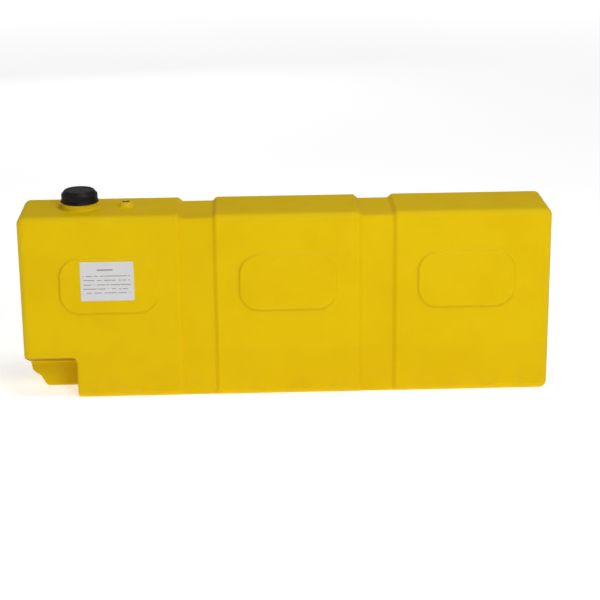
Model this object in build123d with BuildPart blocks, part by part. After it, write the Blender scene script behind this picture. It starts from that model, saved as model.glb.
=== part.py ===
import os

from build123d import *

os.makedirs("parts", exist_ok=True)

# Tank envelope. X runs along the tank, the front face looks towards -Y, Z is up.
length = 1000
depth = 154
height = 358
wall = 6
edge_radius = 14
crease_height = 95.5  # the faces lean inwards below this line
foot_draft = 2.5  # how far they lean in at the floor
left = -length / 2
right = length / 2
front = -depth / 2

# Outlet recess in the front lower left corner
recess_length = 100
recess_front_height = 83
recess_rear_height = 51
recess_inner_radius = 10
recess_mouth_radius = 5

# Stepped toe on the lower left corner: distance from the left end, height, corner radius
toe_corners = [(0, 66, 60), (6.5, 31.5, 11), (22, 20, 10), (33, 0, 10)]

# Strap channels and label pads
bay_shift = 3  # the bays sit a little right of the middle
channel_pitch = 338
channel_floor = 58  # room for a 50 mm webbing strap
channel_mouth = 73
channel_depth = 7
channel_mouth_radius = 5
channel_floor_radius = 3
channel_reach = 12  # how far a channel's cutting tool stands outside the face
channel_spread = 0.4  # how much wider the floor is inside, for each mm of wall
channel_bend = 300  # bend radius of a channel's floor where the faces lean in
pad_pitch = 337
pad_length = 184
pad_width = 109
pad_corner = 38
pad_centre_height = 225.5
pad_rise = 2.5
pad_draft = 45
pad_edge_radius = 1.8

# Filler collar, neck and screw cap: radii, and heights above the floor
filler_x = -387
collar_radius = 33.5
collar_top = height + 11
boss_blend = 4
collar_lip_radius = 2
neck_bore = 24.5
neck_core = 28.4
neck_crest = 30
neck_lock = 31  # ring that anchors the neck in the plastic
neck_foot = height - 10
neck_rim = 387.5
neck_rim_radius = 0.8
neck_lock_low = height + 1
neck_lock_high = height + 4
neck_thread_start = 372.3
neck_thread_turns = 2.4
cap_bottom = 370.5
cap_ceiling = 390.1
cap_top = 393
cap_bore = 30.4
cap_crest = 28.9
cap_side = 34.2
cap_flare = 36
cap_shoulder = 28.5
cap_flare_band = 1.6  # height of the flared foot's upright edge
cap_flare_rise = 4.5  # height at which the flare meets the side
cap_bevel_height = 8
cap_crown_height = 1  # the last, flatter slope of the bevel
cap_crown_width = 1.5
cap_ring_width = 4  # raised ring round the top disc
cap_ring_slope = 1
cap_ring_drop = 0.8
cap_disc_drop = 0.4
cap_bore_lead = 4  # the bore narrows over this height under its ceiling
filler_pitch = 5
cap_thread_start = neck_thread_start + filler_pitch / 2  # half a pitch on, so the ridges interleave
cap_thread_turns = 1.6
filler_thread_tip = 1.3
filler_thread_foot = 2.9
flute_count = 40
flute_radius = 1.4
flute_offset = 0.8  # how far the flutes' centres stand outside the side
flute_start = 5  # above the cap's foot
seal_overhang = 1  # how far the seal reaches inside the neck's bore
seal_clearance = 0.4

# Breather boss and its brass insert
breather_x = -300
boss_top = height + 10
boss_base_radius = 15
boss_top_radius = 9.5
boss_lip_radius = 1
breather_minor = 5.72  # minor radius of a G 1/4 pipe thread
breather_insert_radius = 7.4
breather_insert_length = 14
breather_head = 3  # full width above the waist
breather_foot = 4  # full width below it
breather_waist_depth = 1
breather_chamfer = 0.6
breather_relief = 6.6  # hole in the plastic below the insert

# Brass outlet insert in the recess wall: place across and up, then radii and lengths
recess_wall_x = left + recess_length
outlet_place = (-52, 40)
outlet_minor = 9.32  # minor radius of a G 1/2 pipe thread
outlet_relief = 10.5  # hole in the plastic behind the insert
insert_radius = 13
insert_waist = 11.6
insert_length = 18
insert_head = 2  # full width in front of the waist
insert_foot = 5  # full width behind it
insert_stand = 1  # how far the insert stands out of the plastic
insert_boss_radius = 18
insert_boss_length = 21
port_chamfer = 1

# Label on the left pad
label_length = 100
label_width = 76
label_thickness = 0.2
label_corner = 2
label_x = -335.5
label_height = 234.5

fit_gap = 0.1  # between an insert and the plastic moulded round it
touch_gap = 0.05  # between faces that meet when the thread is done up


def block_outline(inset):
    """The tank's cross-section, seen from the left end."""
    half = depth / 2 - inset
    return [
        (-half + foot_draft, inset),
        (-half, crease_height),
        (-half, height - inset),
        (half, height - inset),
        (half, crease_height),
        (half - foot_draft, inset),
    ]


def toe_outline(inset):
    """The lower left corner seen from the front, from the left end down to the floor."""
    lift = 1 - inset / toe_corners[1][1]
    return [(left + inset + x, inset + z * lift) for x, z, _ in toe_corners]


def tank_block(inset, edge):
    """The plain block with its toe and rounded edges, all faces moved in by inset."""
    far_right = right - inset
    top = height - inset
    with BuildPart() as block:
        with BuildSketch(Plane.YZ.offset(left + inset)):
            with BuildLine():
                Polyline(*block_outline(inset), close=True)
            make_face()
        extrude(amount=length - 2 * inset)
        with BuildSketch(Plane.XZ.offset(-depth)):
            with BuildLine():
                toe = FilletPolyline(
                    (left + inset, top),
                    *toe_outline(inset),
                    (left + 2 * recess_length, inset),
                    radius=[radius for _, _, radius in toe_corners],
                )
                Polyline(toe @ 1, (far_right, inset), (far_right, top), toe @ 0)
            make_face()
        extrude(amount=2 * depth, mode=Mode.INTERSECT)
        corners = block.edges().filter_by(Axis.Y)
        corners = corners.filter_by(lambda e: e.center().X > far_right - 1 or e.center().Z > top - 1)
        rims = block.edges().filter_by(lambda e: abs((e % 0.5).Y) < 0.2)
        rims = rims.filter_by(lambda e: abs(e.center().Z - crease_height) > 1 or e.length < length / 2)
        fillet(corners + rims, edge)
    return block.part


def recess_tool(inset):
    """What the outlet recess takes away, with its sloping ceiling and rounded inner corners."""
    slope = (recess_front_height - recess_rear_height) / (depth / 2)
    start = left - edge_radius
    end = recess_wall_x + inset
    ceiling = recess_rear_height + inset
    with BuildPart() as tool:
        with BuildSketch(Plane.YZ.offset(start)):
            with BuildLine():
                Polyline(
                    (-depth, -depth),
                    (-depth, ceiling + slope * (depth + inset)),
                    (inset, ceiling),
                    (inset, -depth),
                    close=True,
                )
            make_face()
        extrude(amount=end - start)
        end_edges = tool.faces().sort_by(Axis.X)[-1].edges()
        inner_edges = end_edges.filter_by(lambda e: e.center().Y > -depth + 1 and e.center().Z > -depth + 1)
        ceiling_edge = tool.edges().filter_by(Axis.X).sort_by(Axis.Y)[-2:].sort_by(Axis.Z)[-1]
        fillet([*inner_edges, ceiling_edge], recess_inner_radius + inset)
    return tool.part


def channel_tool(centre, inset):
    """What one strap channel takes away, up the front, over the top and down the back."""
    half = depth / 2 - inset
    start = -edge_radius
    foot = half - foot_draft * (crease_height - start) / crease_height
    slope = (channel_mouth - channel_floor) / 2 / channel_depth
    floor_half = channel_floor / 2 + channel_spread * inset
    outer_half = floor_half + slope * (channel_depth + channel_reach)
    with BuildPart() as tool:
        with BuildLine(Plane.YZ.offset(centre)) as path:
            FilletPolyline(
                (-foot, start),
                (-half, crease_height),
                (-half, height - inset),
                (half, height - inset),
                (half, crease_height),
                (foot, start),
                radius=[channel_bend, edge_radius, edge_radius, channel_bend],
            )
        with BuildSketch(Plane(path.line @ 0, x_dir=(1, 0, 0), z_dir=path.line % 0)):
            Polygon(
                (-outer_half, -channel_reach),
                (outer_half, -channel_reach),
                (floor_half, channel_depth),
                (-floor_half, channel_depth),
                align=None,
            )
        sweep(path=path.wires()[0])
        floor_edges = tool.edges().filter_by(
            lambda e: abs(abs(e.center().X - centre) - floor_half) < 0.1
        )
        fillet(floor_edges, channel_floor_radius)
    return tool.part


def cut_edges(part, before, tool):
    """The edges of part where the skins of the earlier solid and of the tool meet."""
    box = tool.bounding_box()

    def in_box(point):
        across = box.min.X - 1 < point.X < box.max.X + 1
        return across and box.min.Y - 1 < point.Y < box.max.Y + 1 and box.min.Z - 1 < point.Z < box.max.Z + 1

    def lies_on(skin, edge):
        return min(face.distance_to(edge @ 0.5) for face in skin.faces()) < 0.01

    near = part.edges().filter_by(lambda e: in_box(e @ 0.5))
    return near.filter_by(lambda e: lies_on(tool, e)).filter_by(lambda e: lies_on(before, e))


def channel_centres():
    """X of the two strap channels."""
    return [bay_shift + side * channel_pitch / 2 for side in (-1, 1)]


def outer_form():
    """The tank's outer shape, with the mouths of its recess and channels rounded over."""
    cuts = [(recess_tool(0), recess_mouth_radius)]
    cuts += [(channel_tool(centre, 0), channel_mouth_radius) for centre in channel_centres()]
    with BuildPart() as form:
        add(tank_block(0, edge_radius))
        for tool, mouth_radius in cuts:
            before = form.part
            add(tool, mode=Mode.SUBTRACT)
            fillet(cut_edges(form.part, before, tool), mouth_radius)
    return form.part


def label_pad(bay, side):
    """One raised pad: bay is -1, 0 or 1 along the tank, side -1 in front and 1 behind."""
    sink = 1
    middle = (bay_shift + bay * pad_pitch, side * (depth / 2 - sink), pad_centre_height)
    with BuildPart() as pad:
        with BuildSketch(Plane(middle, x_dir=(1, 0, 0), z_dir=(0, side, 0))):
            RectangleRounded(pad_length + 2 * sink, pad_width + 2 * sink, pad_corner + sink)
        extrude(amount=pad_rise + sink, taper=pad_draft)
        outer_face = pad.faces().sort_by(Axis.Y)[0 if side < 0 else -1]
        fillet(outer_face.edges(), pad_edge_radius)
    return pad.part


def turned(base, *outline):
    """Turns a closed outline of (radius, height) points about the Z axis of a plane."""
    with BuildPart() as body:
        with BuildSketch(Plane(base.origin, x_dir=base.x_dir, z_dir=-base.y_dir)):
            with BuildLine():
                Polyline(*outline, close=True)
            make_face()
        revolve(axis=Axis(base.origin, base.z_dir))
    return body.part


def thread(base, start, turns, pitch, foot_radius, tip_radius, foot_width, tip_width):
    """A helical ridge about the Z axis of a plane, from foot_radius out or in to tip_radius."""
    sink = 0.3 if foot_radius < tip_radius else -0.3
    centre = base.offset(start).origin
    with BuildPart() as ridge:
        with BuildLine() as path:
            Helix(pitch, turns * pitch, foot_radius, center=centre, direction=base.z_dir)
        begin = path.line @ 0
        outward = begin - centre
        with BuildSketch(Plane(begin, x_dir=outward, z_dir=path.line % 0)):
            Polygon(
                (-sink, -foot_width / 2),
                (-sink, foot_width / 2),
                (tip_radius - foot_radius, tip_width / 2),
                (tip_radius - foot_radius, -tip_width / 2),
                align=None,
            )
        sweep(path=path.wires()[0], is_frenet=True)
    return ridge.part


filler_axis = Plane((filler_x, 0, 0))
breather_axis = Plane((breather_x, 0, 0))
outlet_axis = Plane((recess_wall_x, *outlet_place), x_dir=(0, -1, 0), z_dir=(-1, 0, 0))


def neck_outline(gap):
    """Outside of the neck where the collar is moulded round it, grown by gap."""
    return [
        (0, neck_foot - gap),
        (neck_core + gap, neck_foot - gap),
        (neck_core + gap, neck_lock_low - gap),
        (neck_lock + gap, neck_lock_low - gap),
        (neck_lock + gap, neck_lock_high + gap),
        (neck_core + gap, neck_lock_high + gap),
        (neck_core + gap, neck_rim),
        (0, neck_rim),
    ]


def insert_outline(gap):
    """Outside of the outlet insert, with its waist, grown by gap."""
    waist_top = -insert_head - gap
    waist_low = -insert_length + insert_foot + gap
    return [
        (0, -insert_length - gap),
        (insert_radius + gap, -insert_length - gap),
        (insert_radius + gap, waist_low),
        (insert_waist + gap, waist_low),
        (insert_waist + gap, waist_top),
        (insert_radius + gap, waist_top),
        (insert_radius + gap, insert_stand),
        (0, insert_stand),
    ]


def breather_outline(gap):
    """Outside of the breather insert, with its waist, grown by gap."""
    foot = boss_top - breather_insert_length
    wide = breather_insert_radius + gap
    narrow = wide - breather_waist_depth
    return [
        (0, foot - gap),
        (wide, foot - gap),
        (wide, foot + breather_foot + gap),
        (narrow, foot + breather_foot + gap),
        (narrow, boss_top - breather_head - gap),
        (wide, boss_top - breather_head - gap),
        (wide, boss_top),
        (0, boss_top),
    ]


def cavity_form():
    """The hollow inside the wall, with plastic left round the insert in the recess wall."""
    with BuildPart() as form:
        add(tank_block(wall, edge_radius - wall))
        add(recess_tool(wall), mode=Mode.SUBTRACT)
        for centre in channel_centres():
            add(channel_tool(centre, wall), mode=Mode.SUBTRACT)
        with BuildSketch(outlet_axis.offset(-insert_boss_length)):
            Circle(insert_boss_radius)
        extrude(amount=insert_boss_length - wall / 2, mode=Mode.SUBTRACT)
    return form.part


# Tank shell: one rotationally moulded hollow body, with plastic moulded round every insert
with BuildPart() as tank_shell:
    add(outer_form())
    for side in (-1, 1):
        for bay in (-1, 0, 1):
            pad = label_pad(bay, side)
            before = tank_shell.part
            add(pad)
            fillet(cut_edges(tank_shell.part, before, pad), pad_edge_radius)
    with BuildSketch(Plane.XY.offset(height - 1)):
        with Locations((filler_x, 0)):
            Circle(collar_radius)
    extrude(amount=collar_top - height + 1)
    boss_steepness = (boss_base_radius - boss_top_radius) / (boss_top - height)
    add(
        turned(
            breather_axis,
            (0, height - 1),
            (boss_base_radius + boss_steepness, height - 1),
            (boss_top_radius, boss_top),
            (0, boss_top),
        )
    )
    round_edges = tank_shell.edges().filter_by(GeomType.CIRCLE).filter_by(lambda e: e.length > 90)
    collar_foot = round_edges.filter_by(lambda e: abs(e.center().Z - height) < 0.1)
    fillet(collar_foot, boss_blend)
    collar_lip = tank_shell.edges().filter_by(lambda e: abs(e.center().Z - collar_top) < 0.1)
    fillet(collar_lip.filter_by(GeomType.CIRCLE).filter_by(lambda e: e.length > 200), collar_lip_radius)
    boss_lip = tank_shell.edges().filter_by(lambda e: abs(e.center().Z - boss_top) < 0.1)
    fillet(boss_lip, boss_lip_radius)

    add(cavity_form(), mode=Mode.SUBTRACT)
    add(turned(filler_axis, *neck_outline(fit_gap)), mode=Mode.SUBTRACT)
    add(turned(breather_axis, *breather_outline(fit_gap)), mode=Mode.SUBTRACT)
    with BuildSketch(Plane.XY.offset(height - 2 * wall)):
        with Locations((breather_x, 0)):
            Circle(breather_relief)
    extrude(amount=2 * wall, mode=Mode.SUBTRACT)
    add(turned(outlet_axis, *insert_outline(fit_gap)), mode=Mode.SUBTRACT)
    with BuildSketch(outlet_axis.offset(-insert_boss_length - 1)):
        Circle(outlet_relief)
    extrude(amount=insert_boss_length, mode=Mode.SUBTRACT)

# Filler neck: threaded tube anchored in the collar
with BuildPart() as filler_neck:
    add(turned(filler_axis, *neck_outline(0)))
    with BuildSketch(Plane.XY.offset(neck_foot)):
        with Locations((filler_x, 0)):
            Circle(neck_bore)
    extrude(amount=neck_rim - neck_foot, mode=Mode.SUBTRACT)
    fillet(filler_neck.edges().group_by(Axis.Z)[-1], neck_rim_radius)
    add(
        thread(
            filler_axis,
            neck_thread_start,
            neck_thread_turns,
            filler_pitch,
            neck_core,
            neck_crest,
            filler_thread_foot,
            filler_thread_tip,
        )
    )

# Filler cap: fluted side, flared foot, bevelled shoulder and a ring round the top disc
cap_ring_outside = cap_shoulder - cap_crown_width
cap_ring_inside = cap_ring_outside - cap_ring_width
with BuildPart() as filler_cap:
    add(
        turned(
            filler_axis,
            (cap_bore, cap_bottom),
            (cap_flare, cap_bottom),
            (cap_flare, cap_bottom + cap_flare_band),
            (cap_side, cap_bottom + cap_flare_rise),
            (cap_side, cap_top - cap_bevel_height),
            (cap_shoulder, cap_top - cap_crown_height),
            (cap_ring_outside, cap_top),
            (cap_ring_inside, cap_top),
            (cap_ring_inside - cap_ring_slope, cap_top - cap_ring_drop),
            (0, cap_top - cap_disc_drop),
            (0, cap_ceiling),
            (cap_crest, cap_ceiling),
            (cap_bore, cap_ceiling - cap_bore_lead),
        )
    )
    with BuildSketch(Plane.XY.offset(cap_bottom + flute_start)):
        with Locations((filler_x, 0)):
            with PolarLocations(cap_side + flute_offset, flute_count):
                Circle(flute_radius)
    extrude(amount=cap_top - cap_bottom, mode=Mode.SUBTRACT)
    add(
        thread(
            filler_axis,
            cap_thread_start,
            cap_thread_turns,
            filler_pitch,
            cap_bore,
            cap_crest,
            filler_thread_foot,
            filler_thread_tip,
        )
    )

# Cap seal: flat ring pressed on the neck's rim
with BuildPart() as cap_seal:
    add(
        turned(
            filler_axis,
            (neck_bore - seal_overhang, neck_rim + touch_gap),
            (cap_crest - seal_clearance, neck_rim + touch_gap),
            (cap_crest - seal_clearance, cap_ceiling - touch_gap),
            (neck_bore - seal_overhang, cap_ceiling - touch_gap),
        )
    )

# Breather insert: brass, threaded, open at both ends
with BuildPart() as breather_insert:
    add(turned(breather_axis, *breather_outline(0)))
    with BuildSketch(Plane.XY.offset(boss_top - breather_insert_length)):
        with Locations((breather_x, 0)):
            Circle(breather_minor)
    extrude(amount=breather_insert_length, mode=Mode.SUBTRACT)
    chamfer(breather_insert.edges().group_by(Axis.Z)[-1].sort_by(Edge.length)[0], breather_chamfer)

# Outlet insert: brass, threaded, open at both ends
with BuildPart() as outlet_insert:
    add(turned(outlet_axis, *insert_outline(0)))
    with BuildSketch(outlet_axis.offset(-insert_length)):
        Circle(outlet_minor)
    extrude(amount=insert_length + insert_stand, mode=Mode.SUBTRACT)
    chamfer(outlet_insert.edges().group_by(Axis.X)[0].sort_by(Edge.length)[0], port_chamfer)

# Label: a thin sheet stuck on the left pad
with BuildPart() as label:
    with BuildSketch(Plane.XZ.offset(depth / 2 + pad_rise)):
        with Locations((label_x, label_height)):
            RectangleRounded(label_length, label_width, label_corner)
    extrude(amount=label_thickness)

pieces = {
    "tank_shell": tank_shell,
    "filler_neck": filler_neck,
    "filler_cap": filler_cap,
    "cap_seal": cap_seal,
    "breather_insert": breather_insert,
    "outlet_insert": outlet_insert,
    "label": label,
}
for name, piece in pieces.items():
    piece.part.label = name
    export_step(piece.part, f"parts/{name}.step")
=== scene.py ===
import math

import bpy
from mathutils import Matrix, Vector


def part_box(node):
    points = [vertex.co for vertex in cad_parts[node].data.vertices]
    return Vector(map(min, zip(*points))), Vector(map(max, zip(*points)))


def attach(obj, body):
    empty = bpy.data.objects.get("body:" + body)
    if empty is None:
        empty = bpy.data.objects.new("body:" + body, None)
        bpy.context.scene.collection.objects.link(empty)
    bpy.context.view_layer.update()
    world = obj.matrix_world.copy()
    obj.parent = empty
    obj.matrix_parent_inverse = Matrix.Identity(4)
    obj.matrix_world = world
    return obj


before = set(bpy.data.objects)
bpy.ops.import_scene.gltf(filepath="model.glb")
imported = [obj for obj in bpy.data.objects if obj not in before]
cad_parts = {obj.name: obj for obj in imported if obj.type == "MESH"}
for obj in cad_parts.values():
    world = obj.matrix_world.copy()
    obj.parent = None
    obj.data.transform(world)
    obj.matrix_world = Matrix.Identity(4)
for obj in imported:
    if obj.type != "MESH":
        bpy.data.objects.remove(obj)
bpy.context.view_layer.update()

scene = bpy.context.scene
scene.view_settings.view_transform = "Standard"
mm = 0.001


class Wire:
    # one output of a node, so that maths on it can be written as it is said
    def __init__(self, finish, socket):
        self.finish = finish
        self.socket = socket

    def maths(self, operation, first, second=0.0):
        return self.finish.add("ShaderNodeMath", {"operation": operation}, {0: first, 1: second})

    def __add__(self, other):
        return self.maths("ADD", self, other)

    def __radd__(self, other):
        return self.maths("ADD", other, self)

    def __sub__(self, other):
        return self.maths("SUBTRACT", self, other)

    def __rsub__(self, other):
        return self.maths("SUBTRACT", other, self)

    def __mul__(self, other):
        return self.maths("MULTIPLY", self, other)

    def __truediv__(self, other):
        return self.maths("DIVIDE", self, other)

    def __abs__(self):
        return self.maths("ABSOLUTE", self)

    def larger(self, other):
        return self.maths("MAXIMUM", self, other)

    def over(self, low, high):
        # 0 below low, 1 above high, smooth between
        return self.finish.add(
            "ShaderNodeMapRange",
            {"interpolation_type": "SMOOTHSTEP"},
            {"Value": self, "From Min": low, "From Max": high},
        )

    def under(self, low, high):
        return 1 - self.over(low, high)


class Finish:
    # a material: constants go straight on the shader, what varies is linked with show()
    def __init__(self, name, **constants):
        self.material = bpy.data.materials.new(name)
        self.material.use_nodes = True
        self.tree = self.material.node_tree
        self.shader = self.tree.nodes["Principled BSDF"]
        for socket, value in constants.items():
            self.shader.inputs[socket.replace("_", " ")].default_value = value
        self.place = self.add("ShaderNodeTexCoord", output="Object")
        parts = [self.add("ShaderNodeSeparateXYZ", {}, {0: self.place}, axis) for axis in "XYZ"]
        self.x, self.y, self.z = parts

    def add(self, kind, settings=None, inputs=None, output=0):
        node = self.tree.nodes.new(kind)
        for key, value in (settings or {}).items():
            setattr(node, key, value)
        for key, value in (inputs or {}).items():
            if isinstance(value, Wire):
                self.tree.links.new(value.socket, node.inputs[key])
            else:
                node.inputs[key].default_value = value
        return Wire(self, node.outputs[output])

    def facing(self):
        # which way the surface looks, as three wires
        normal = self.add("ShaderNodeNewGeometry", output="Normal")
        return [self.add("ShaderNodeSeparateXYZ", {}, {0: normal}, axis) for axis in "XYZ"]

    def noise(self, scale, detail, roughness, place=None):
        return self.add(
            "ShaderNodeTexNoise",
            {},
            {"Vector": place or self.place, "Scale": scale, "Detail": detail, "Roughness": roughness},
        )

    def spots(self, cloud, place=None):
        # noise of a scale, detail and roughness, with where its spots begin and are full
        scale, detail, roughness, begin, full = cloud
        return self.noise(scale, detail, roughness, place).over(begin, full)

    def stretched(self, scale):
        return self.add(
            "ShaderNodeVectorMath", {"operation": "MULTIPLY"}, {0: self.place, 1: scale}
        )

    def mix(self, first, second, share):
        return self.add(
            "ShaderNodeMix", {"data_type": "RGBA"}, {0: share, 6: first, 7: second}, 2
        )

    def bump(self, height, depth, strength=1.0):
        return self.add(
            "ShaderNodeBump", {}, {"Height": height, "Distance": depth, "Strength": strength}, "Normal"
        )

    def show(self, **wires):
        for socket, wire in wires.items():
            self.tree.links.new(wire.socket, self.shader.inputs[socket.replace("_", " ")])
        return self.material


def tint(red, green, blue):
    return (red, green, blue, 1.0)


# Camera
cameraSet = {
    "place": (-0.07909, -3.18917, 1.16772),
    "turn": 0.033509,
    "tilt": 0.304278,
    "roll": 0.009856,
    "lens": 103.808,
    "sensor": 36,
    "clipEnd": 100,
}


def makeCamera(look):
    turn, tilt, roll = look["turn"], look["tilt"], look["roll"]
    ahead = Vector((math.sin(turn) * math.cos(tilt), math.cos(turn) * math.cos(tilt), -math.sin(tilt)))
    across = Vector((math.cos(turn), -math.sin(turn), 0))
    down = ahead.cross(across)
    sideways = math.cos(roll) * across + math.sin(roll) * down
    upwards = math.sin(roll) * across - math.cos(roll) * down
    lensData = bpy.data.cameras.new("camera")
    lensData.lens = look["lens"]
    lensData.sensor_width = look["sensor"]
    lensData.clip_end = look["clipEnd"]
    camera = bpy.data.objects.new("camera", lensData)
    scene.collection.objects.link(camera)
    matrix = Matrix((sideways, upwards, -ahead)).transposed().to_4x4()
    matrix.translation = look["place"]
    camera.matrix_world = matrix
    scene.camera = camera


makeCamera(cameraSet)
print("camera set")

# Floor and light
studio = {
    "floorSize": 60,
    "floorColour": (0.88, 0.88, 0.88),
    "floorRoughness": 0.9,
    "floorGlow": 0.64,
    "clouds": (0.7, 2.0, 0.5, 0.3, 0.7),
    "cloudShade": 0.985,
    "farGlow": 1.45,
    "farReach": (1.5, 9.0),  # the floor glows more from the first distance to the second
    "worldColour": (1, 1, 1, 1),
    "worldLight": 0.27,
    "lights": [  # name, place, size, power, aimed at
        ("front", (1.1, -3.0, 2.1), 1.0, 38.5, (0.0, 0.0, 0.2)),
        ("left", (-3.2, -1.2, 1.8), 1.6, 5, (-0.2, 0.0, 0.2)),
        ("above", (0.4, -0.6, 3.0), 1.1, 25, (0.0, 0.0, 0.3)),
        ("behind", (-0.6, 3.2, 1.2), 1.6, 5, (0.0, 0.0, 0.2)),
    ],
}


def makeStudio(look):
    bpy.ops.object.select_all(action="DESELECT")
    bpy.ops.mesh.primitive_plane_add(size=look["floorSize"])
    floor = bpy.context.object
    floor.name = "floor"
    paint = Finish("paleFloor", Roughness=look["floorRoughness"], Emission_Strength=look["floorGlow"])
    cloudy = paint.spots(look["clouds"])
    pale = tint(*look["floorColour"])
    paleGrey = tint(*[v * look["cloudShade"] for v in look["floorColour"]])
    colour = paint.mix(pale, paleGrey, cloudy)
    distance = paint.add("ShaderNodeVectorMath", {"operation": "LENGTH"}, {0: paint.place}, "Value")
    glow = paint.mix(colour, tint(*[look["farGlow"]] * 3), distance.over(*look["farReach"]))
    floor.data.materials.append(paint.show(Base_Color=colour, Emission_Color=glow))
    world = bpy.data.worlds.new("studioWorld")
    world.use_nodes = True
    sky = world.node_tree.nodes["Background"]
    sky.inputs["Color"].default_value = look["worldColour"]
    sky.inputs["Strength"].default_value = look["worldLight"]
    scene.world = world
    for name, place, size, power, aim in look["lights"]:
        lamp = bpy.data.lights.new(name, "AREA")
        lamp.size = size
        lamp.energy = power
        light = bpy.data.objects.new(name, lamp)
        scene.collection.objects.link(light)
        light.location = place
        light.visible_glossy = name != "behind"  # it only lifts the back, with no glint on the edges
        light.rotation_euler = (Vector(aim) - Vector(place)).to_track_quat("-Z", "Y").to_euler()


makeStudio(studio)
print("floor and lights set")

# Tank: moulded polyethylene
tankLook = {
    "colour": (0.745, 0.505, 0.0012),
    "deepColour": (0.690, 0.445, 0.001),
    "paleColour": (0.790, 0.580, 0.020),
    "grimeColour": (0.300, 0.200, 0.060),
    "shadeColour": (0.480, 0.310, 0.001),
    # painted shade under the lip of the outlet recess
    "recessShadeColour": (0.215, 0.108, 0.002),
    "roughness": 0.50,
    # marks on the plastic: scale, detail, roughness, where they begin and are full
    "patches": (9.0, 4.0, 0.6, 0.35, 0.7),
    "speckle": (1500.0, 2.0, 0.7, 0.55, 0.8),
    "scuffs": (1.0, 5.0, 0.7, 0.62, 0.74),
    "scuffStretch": (22.0, 60.0, 150.0),
    "dust": (26.0, 4.0, 0.65, 0.42, 0.75),
    "dustHeight": 0.07,
    "peel": (420, 2.0, 0.5),
    "waves": (14.0, 1.0, 0.4),
    # how much of its colour each mark takes
    "patchShare": 0.5,
    "speckleShare": 0.25,
    "rubbedShare": 0.35,
    "scuffShare": 0.16,
    "dustShare": 0.14,
    # painted shade below the crease near the bottom
    "creaseShadeShare": 0.25,
    # painted shade and painted highlight round the edges of the pads
    "padShade": 0.45,
    "padLeftShadeShare": 0.8,
    "padHighlightShare": 0.25,
    # painted shade under the recess lip
    "recessShadeShare": 0.95,
    # painted highlight on the collar and the boss
    "proudHighlightShare": 0.6,
    # how far each mark stands in or out, and how dull it is
    "peelRelief": 0.10,
    "waveRelief": 0.7,
    "seamRelief": 0.9,
    "scuffRelief": -0.12,
    "reliefDepth": 0.0004,
    "patchDulling": 0.06,
    "scuffDulling": 0.10,
    "dustDulling": 0.18,
    # places on the tank, in metres
    "seamWidth": 0.0007,
    "seamCore": 0.4,  # the share of the seam's width that stands at full height
    "creaseHeight": 0.0955,
    "creaseBlur": 0.002,
    "edgeRadius": 0.014,
    "halfDepth": 0.077,
    "topHeight": 0.358,
    "proudFrom": 0.001,
    "proudTo": 0.004,
    "padPitch": 0.337,
    "padShift": 0.003,
    "padHeight": 0.2255,
    "padHalf": (0.092, 0.0545),
    "padCorner": 0.038,
    "padBlur": 0.0045,
    "padSkin": (0.002, 0.001),
    "padLeft": (-0.09, -0.05),
    "padBelow": (-0.055, -0.02),
    "padAbove": (0.03, 0.055),
    "recessEnd": (-0.402, -0.398),
    "recessDepth": (-0.030, -0.004),
    "recessTop": (0.080, 0.086),
    "recessFacing": (-0.55, -0.15),
}


def padOutline(paint, look):
    # how near a point is to the outline of a pad, and where it lies from the pad's middle
    pitch, corner, side = look["padPitch"], look["padCorner"], look["halfDepth"]
    shifted = paint.x - look["padShift"] + pitch / 2
    along = shifted.maths("FLOORED_MODULO", shifted, pitch) - pitch / 2
    up = paint.z - look["padHeight"]
    pastCorner = [
        (abs(wire) - (half - corner)).larger(0.0) for wire, half in zip((along, up), look["padHalf"])
    ]
    apart = pastCorner[0] * pastCorner[0] + pastCorner[1] * pastCorner[1]
    outline = abs(apart.maths("SQRT", apart) - corner).under(0.0, look["padBlur"])
    onFace = abs(paint.y).over(*[side - skin for skin in look["padSkin"]])
    return outline, onFace, along, up


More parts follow.
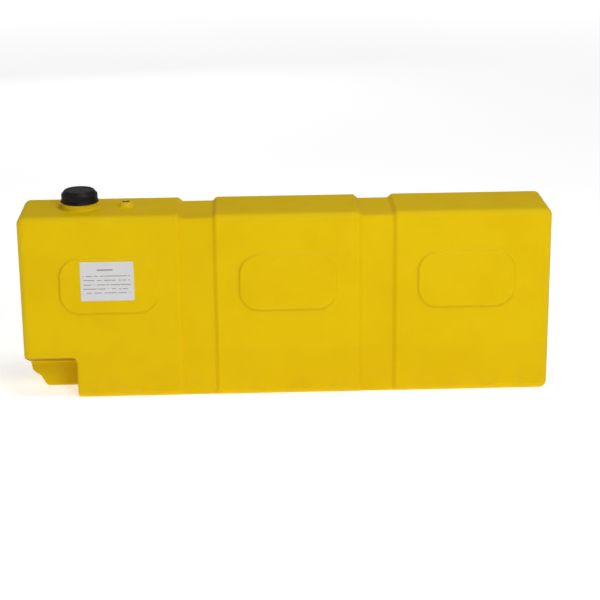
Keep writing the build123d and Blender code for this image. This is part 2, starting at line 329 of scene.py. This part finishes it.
def tankFinish(look):
    paint = Finish("tankPlastic", IOR=1.49, Specular_IOR_Level=0.05)
    plain, deep, pale = [tint(*look[name]) for name in ("colour", "deepColour", "paleColour")]
    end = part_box("tank_shell")[1][0]
    edge, side, top = look["edgeRadius"], look["halfDepth"], look["topHeight"]
    # how near a point is to two faces at once, which is where a tank gets rubbed
    nearEnd = abs(paint.x).over(end - edge, end)
    nearSide = abs(paint.y).over(side - edge, side)
    nearTop = paint.z.over(top - edge, top)
    rubbed = (nearEnd * nearSide).larger(nearEnd * nearTop).larger(nearSide * nearTop)
    patchy = paint.spots(look["patches"])
    speckle = paint.spots(look["speckle"])
    scuffs = paint.spots(look["scuffs"], paint.stretched(look["scuffStretch"]))
    dusty = paint.z.under(0.0, look["dustHeight"]) * paint.spots(look["dust"])
    colour = paint.mix(plain, deep, patchy * look["patchShare"])
    colour = paint.mix(colour, deep, speckle * look["speckleShare"])
    colour = paint.mix(colour, pale, rubbed * look["rubbedShare"] + scuffs * look["scuffShare"])
    colour = paint.mix(colour, tint(*look["grimeColour"]), dusty * look["dustShare"])
    # painted shade and painted highlight: the moulding is painted darker round the left and lower edges of
    # each pad, as if lit from the upper right, and paler along its top
    outline, onFace, along, up = padOutline(paint, look)
    shadedLeftOrBelow = (along.under(*look["padLeft"]) * look["padLeftShadeShare"]).larger(up.under(*look["padBelow"]))
    paintedPadShade = shadedLeftOrBelow * outline * onFace
    paintedPadHighlight = up.over(*look["padAbove"]) * outline * onFace
    colour = paint.mix(colour, tint(*look["shadeColour"]), paintedPadShade * look["padShade"])
    colour = paint.mix(colour, pale, paintedPadHighlight * look["padHighlightShare"])
    # painted shade under the lip of the outlet recess, on the faces there that look down
    inRecess = paint.x.under(*look["recessEnd"]) * paint.y.under(*look["recessDepth"])
    shadedLip = inRecess * paint.z.under(*look["recessTop"]) * paint.facing()[2].under(*look["recessFacing"])
    colour = paint.mix(colour, tint(*look["recessShadeColour"]), shadedLip * look["recessShadeShare"])
    # painted highlight: the collar and the boss, which stand proud, are painted pale
    proudHighlight = paint.z.over(top + look["proudFrom"], top + look["proudTo"])
    colour = paint.mix(colour, pale, proudHighlight * look["proudHighlightShare"])
    # painted shade: below the crease near the bottom, where the face turns down, the plastic is painted
    # darker
    crease, blur = look["creaseHeight"], look["creaseBlur"]
    shadedBelowCrease = paint.z.under(crease - blur, crease + blur)
    colour = paint.mix(colour, deep, shadedBelowCrease * look["creaseShadeShare"])
    peel = paint.noise(*look["peel"])
    waves = paint.noise(*look["waves"])
    seam = abs(paint.y).under(look["seamWidth"] * look["seamCore"], look["seamWidth"])
    height = peel * look["peelRelief"] + waves * look["waveRelief"]
    height = height + seam * look["seamRelief"] + scuffs * look["scuffRelief"]
    shine = look["roughness"] + patchy * look["patchDulling"]
    shine = shine + scuffs * look["scuffDulling"] + dusty * look["dustDulling"]
    return paint.show(Base_Color=colour, Roughness=shine, Normal=paint.bump(height, look["reliefDepth"]))


# Cap and neck: black mouldings
blackLook = {
    "colour": (0.004, 0.004, 0.0045),
    "dustAndSheenColour": (0.090, 0.086, 0.082),
    "roughness": 0.40,
    "patches": (60.0, 4.0, 0.6, 0.4, 0.7),
    "patchShare": 0.05,
    "patchDulling": 0.08,
    "dust": (180.0, 4.0, 0.7, 0.3, 0.7),
    "dustFacing": (0.5, 1.0),
    "dustDulling": 0.2,
    "grain": (2600, 2.0, 0.6),
    "grainDepth": 0.00008,
    "neckDust": 0.1,
    # dust on the cap's top, partly a painted highlight
    "capDustAndSheen": 0.45,
}


def blackFinish(name, look, dust):
    paint = Finish(name, IOR=1.5, Specular_IOR_Level=0.17)
    patchy = paint.spots(look["patches"])
    grain = paint.noise(*look["grain"])
    # dust settles on the faces that look up; on the cap the same pale mark is also a painted highlight that
    # lightens the top against the sides
    settledDustAndSheen = paint.facing()[2].over(*look["dustFacing"]) * paint.spots(look["dust"])
    dustShare = settledDustAndSheen * dust + patchy * look["patchShare"]
    colour = paint.mix(tint(*look["colour"]), tint(*look["dustAndSheenColour"]), dustShare)
    shine = look["roughness"] + patchy * look["patchDulling"] + settledDustAndSheen * look["dustDulling"]
    return paint.show(Base_Color=colour, Roughness=shine, Normal=paint.bump(grain, look["grainDepth"]))


# Brass inserts
brassLook = {
    "colour": (0.560, 0.370, 0.130),
    "tarnish": (0.180, 0.110, 0.045),
    "roughness": 0.30,
    "tarnishSpots": (240.0, 5.0, 0.65, 0.38, 0.68),
    "tarnishShare": 0.7,
    "tarnishDulling": 0.25,
    "toolMarks": (1.0, 2.0, 0.5),
    "toolStretch": (900.0, 900.0, 5200.0),
    "toolDulling": 0.08,
    "toolDepth": 0.00005,
}


def brassFinish(look):
    paint = Finish("insertBrass", Metallic=1.0)
    tarnished = paint.spots(look["tarnishSpots"])
    toolMarks = paint.noise(*look["toolMarks"], paint.stretched(look["toolStretch"]))
    colour = paint.mix(tint(*look["colour"]), tint(*look["tarnish"]), tarnished * look["tarnishShare"])
    shine = look["roughness"] + tarnished * look["tarnishDulling"] + toolMarks * look["toolDulling"]
    return paint.show(Base_Color=colour, Roughness=shine, Normal=paint.bump(toolMarks, look["toolDepth"]))


# Seal: rubber ring in the cap
rubberLook = {
    "colour": (0.020, 0.020, 0.020),
    "bloom": (0.060, 0.060, 0.058),
    "roughness": 0.72,
    "bloomSpots": (320.0, 4.0, 0.7, 0.45, 0.75),
    "bloomShare": 0.6,
    "bloomDulling": 0.12,
    "grain": (3400.0, 2.0, 0.6),
    "grainDepth": 0.00005,
}


def rubberFinish(look):
    paint = Finish("ringRubber")
    bloom = paint.spots(look["bloomSpots"])
    grain = paint.noise(*look["grain"])
    colour = paint.mix(tint(*look["colour"]), tint(*look["bloom"]), bloom * look["bloomShare"])
    shine = look["roughness"] + bloom * look["bloomDulling"]
    return paint.show(Base_Color=colour, Roughness=shine, Normal=paint.bump(grain, look["grainDepth"]))


# Label: white sheet with plain grey bars for its print
labelLook = {
    "colour": (0.640, 0.630, 0.645),
    "ink": (0.150, 0.150, 0.165),
    "inkShare": 0.85,
    "aged": (0.600, 0.585, 0.550),
    "agedSpots": (30.0, 4.0, 0.6, 0.4, 0.8),
    "agedShare": 0.4,
    "agedDulling": 0.12,
    "roughness": 0.34,
    "wrinkles": (45.0, 2.0, 0.5),
    "wrinkleDepth": 0.00015,
    "wordGaps": (1.0, 0.0, 0.5, 0.40, 0.43),
    "gapStretch": (150.0, 0.0, 122.0),
    "endBlur": 0.2,  # soft ends and edges of the bars, in mm
    "edgeBlur": 0.15,
    # bars: from, to, down, thickness, in mm from the top left corner
    "heading": (31.5, 61.0, 15.6, 2.6),
    "lines": [
        (5.0, 94.0, 27.5, 1.5),
        (5.5, 92.5, 35.7, 1.5),
        (5.0, 94.5, 44.4, 1.5),
        (5.0, 88.0, 52.5, 1.5),
        (6.0, 93.0, 60.3, 1.5),
    ],
}


def labelFinish(look):
    paint = Finish("labelSheet", IOR=1.46)
    low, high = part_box("label")
    right = (paint.x - low[0]) / mm
    down = (high[2] - paint.z) / mm
    endBlur, edgeBlur = look["endBlur"], look["edgeBlur"]

    def bar(start, end, middle, thickness):
        across = right.over(start - endBlur, start + endBlur) * right.under(end - endBlur, end + endBlur)
        return across * abs(down - middle).under(thickness / 2 - edgeBlur, thickness / 2 + edgeBlur)

    gaps = paint.spots(look["wordGaps"], paint.stretched(look["gapStretch"]))
    printed = bar(*look["heading"])
    for line in look["lines"]:
        printed = printed.larger(bar(*line) * gaps)
    aged = paint.spots(look["agedSpots"])
    wrinkle = paint.noise(*look["wrinkles"])
    colour = paint.mix(tint(*look["colour"]), tint(*look["aged"]), aged * look["agedShare"])
    colour = paint.mix(colour, tint(*look["ink"]), printed * look["inkShare"])
    shine = look["roughness"] + aged * look["agedDulling"]
    return paint.show(Base_Color=colour, Roughness=shine, Normal=paint.bump(wrinkle, look["wrinkleDepth"]))


# Threads in the breather and outlet ports: a ridge swept round the bore, lengths in mm
threadSet = {
    "breatherThread": {"insert": "breather_insert", "axis": "Z", "bore": 5.72, "pitch": 1.337, "turns": 8},
    "outletThread": {"insert": "outlet_insert", "axis": "X", "bore": 9.32, "pitch": 1.814, "turns": 7},
}
threadLook = {
    "depth": 0.42,
    "sink": 0.25,
    "halfFoot": 0.44,  # half the ridge's foot, as a share of the pitch
    "entry": 1.5,
    "steps": 48,
    "mergeDistance": 0.000001,
    "smoothAngle": 40,
}


def makeThread(name, port, look, material):
    low, high = [Vector(corner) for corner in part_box(port["insert"])]
    centre = (low + high) / 2
    bpy.ops.object.select_all(action="DESELECT")
    bpy.ops.mesh.primitive_circle_add(vertices=3, radius=1, location=(0, 0, 0))
    ridge = bpy.context.object
    ridge.name = name
    outer, inner = (port["bore"] + look["sink"]) * mm, (port["bore"] - look["depth"]) * mm
    half = port["pitch"] * look["halfFoot"] * mm
    for point, place in zip(ridge.data.vertices, ((outer, 0, -half), (outer, 0, half), (inner, 0, 0))):
        point.co = place
    turn = ridge.modifiers.new("turn", "SCREW")
    turn.axis = "Z"
    turn.screw_offset = port["pitch"] * mm
    turn.iterations = port["turns"]
    turn.steps = turn.render_steps = look["steps"]
    turn.use_merge_vertices = False
    bpy.ops.object.modifier_apply(modifier="turn")
    bpy.ops.object.mode_set(mode="EDIT")
    bpy.ops.mesh.select_all(action="SELECT")
    bpy.ops.mesh.remove_doubles(threshold=look["mergeDistance"])
    bpy.ops.mesh.fill_holes(sides=3)
    bpy.ops.mesh.normals_make_consistent(inside=False)
    bpy.ops.object.mode_set(mode="OBJECT")
    length = (port["turns"] * port["pitch"] + port["pitch"] * 2 * look["halfFoot"]) * mm
    if port["axis"] == "Z":
        ridge.location = (centre.x, centre.y, high.z - look["entry"] * mm - length)
    else:
        ridge.rotation_euler = (0, -math.pi / 2, 0)
        ridge.location = (low.x + look["entry"] * mm + length, centre.y, centre.z)
    bpy.ops.object.transform_apply(location=True, rotation=True, scale=True)
    bpy.ops.object.shade_smooth_by_angle(angle=math.radians(look["smoothAngle"]))
    ridge.data.materials.append(material)
    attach(ridge, "tank")


finishes = {
    "tank_shell": tankFinish(tankLook),
    "filler_neck": blackFinish("neckPlastic", blackLook, blackLook["neckDust"]),
    "filler_cap": blackFinish("capPlastic", blackLook, blackLook["capDustAndSheen"]),
    "cap_seal": rubberFinish(rubberLook),
    "breather_insert": brassFinish(brassLook),
    "label": labelFinish(labelLook),
}
finishes["outlet_insert"] = finishes["breather_insert"]
for name, material in finishes.items():
    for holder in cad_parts[name].material_slots:
        holder.material = material
print("finishes on", len(finishes), "pieces")
for name, port in threadSet.items():
    makeThread(name, port, threadLook, finishes["breather_insert"])
print("threads made:", ", ".join(threadSet))
